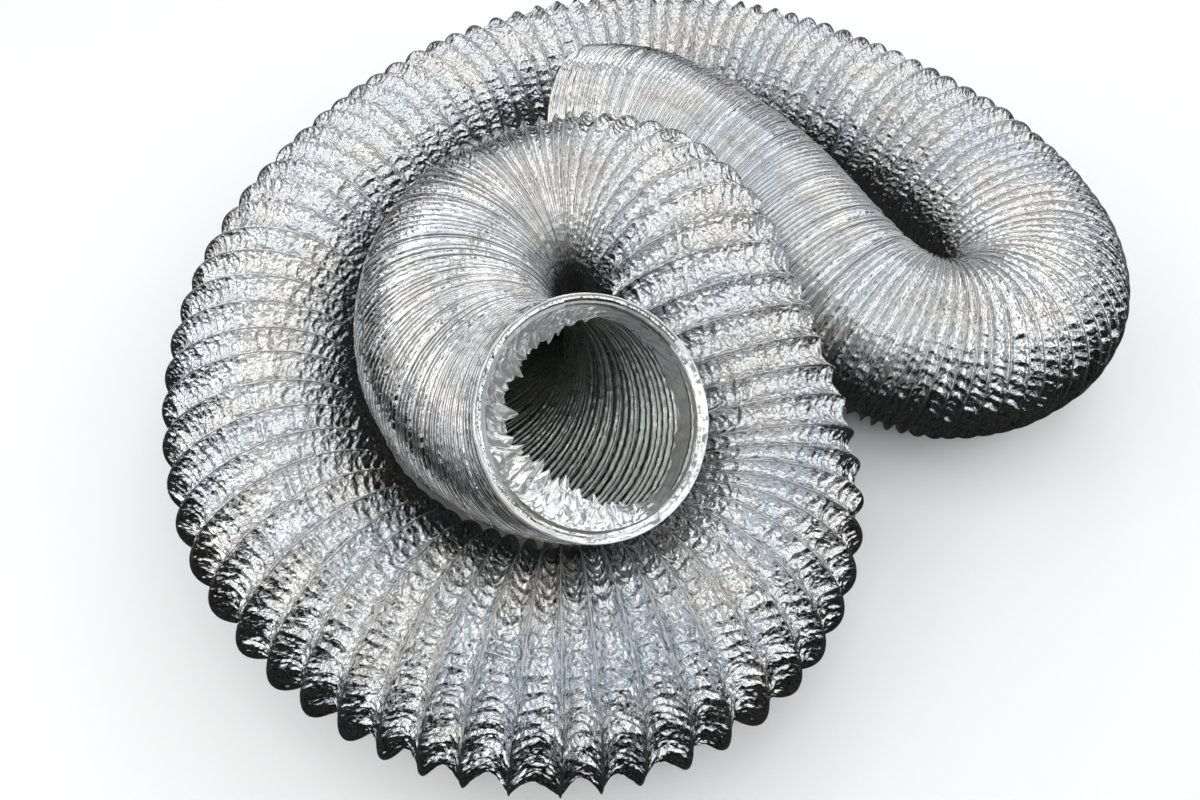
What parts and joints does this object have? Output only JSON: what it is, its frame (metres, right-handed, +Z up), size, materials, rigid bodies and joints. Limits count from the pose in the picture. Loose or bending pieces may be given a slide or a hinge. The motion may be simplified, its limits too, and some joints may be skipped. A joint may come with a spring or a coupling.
{
  "type": "flexible foil ventilation duct",
  "caption": "Flexible aluminium-foil ventilation duct on a steel wire helix, lying in a loose coil with two open ends that bend and pull out.",
  "frame": {"origin": "on the floor, under the middle of the coil's box", "axes": "+Z up, +X to the right and +Y to the back, seen from the side that the front mouth faces"},
  "size_m": [0.5552, 0.5727, 0.1814],
  "materials": {
    "bright_foil": "bright crinkled foil laminate",
    "spring_steel": "drawn wire",
    "folded_foil": "foil folded in by hand, creased"
  },
  "bodies": {
    "coil": {"foil_wall_01": "bright_foil", "spring_wire_01": "spring_steel", "foil_wall_02": "bright_foil", "spring_wire_02": "spring_steel", "foil_wall_03": "bright_foil", "spring_wire_03": "spring_steel", "foil_wall_04": "bright_foil", "spring_wire_04": "spring_steel", "foil_wall_05": "bright_foil", "spring_wire_05": "spring_steel", "foil_wall_06": "bright_foil", "spring_wire_06": "spring_steel", "foil_wall_07": "bright_foil", "spring_wire_07": "spring_steel", "foil_wall_08": "bright_foil", "spring_wire_08": "spring_steel", "foil_wall_09": "bright_foil", "spring_wire_09": "spring_steel", "foil_wall_10": "bright_foil", "spring_wire_10": "spring_steel", "foil_wall_11": "bright_foil", "spring_wire_11": "spring_steel", "foil_wall_12": "bright_foil", "spring_wire_12": "spring_steel", "foil_wall_13": "bright_foil", "spring_wire_13": "spring_steel", "foil_wall_14": "bright_foil", "spring_wire_14": "spring_steel", "foil_wall_15": "bright_foil", "spring_wire_15": "spring_steel", "foil_wall_16": "bright_foil", "spring_wire_16": "spring_steel"},
    "mouth_neck": {"foil_wall_mouth_neck": "bright_foil", "spring_wire_mouth_neck": "spring_steel"},
    "mouth_end": {"foil_wall_mouth_end": "bright_foil", "spring_wire_mouth_end": "spring_steel", "mouth_hem": "folded_foil"},
    "tail_neck": {"foil_wall_tail_neck": "bright_foil", "spring_wire_tail_neck": "spring_steel"},
    "tail_end": {"foil_wall_tail_end": "bright_foil", "spring_wire_tail_end": "spring_steel", "tail_hem": "folded_foil"}
  },
  "joints": [
    {"name": "mouth_bend", "type": "hinge", "parent": "coil", "child": "mouth_neck", "pos_m": [-0.0987, -0.11, 0.1534], "axis": [-0.7991, -0.6012, 0], "range_deg": [0, 25]},
    {"name": "mouth_pull", "type": "slide", "parent": "mouth_neck", "child": "mouth_end", "axis": [0.6525, -0.5213, 0.55], "range_m": [0, 0.06]},
    {"name": "tail_bend", "type": "hinge", "parent": "coil", "child": "tail_neck", "pos_m": [0.0387, 0.0821, 0.1231], "axis": [0.5907, 0.8069, 0], "range_deg": [0, 20]},
    {"name": "tail_curl", "type": "hinge", "parent": "tail_neck", "child": "tail_end", "pos_m": [-0.002, 0.109, 0.1312], "axis": [0.4299, 0.9029, 0], "range_deg": [0, 20]}
  ],
  "couplings": [
    {"joint": "tail_curl", "follows": "tail_bend", "ratio": 1}
  ]
}
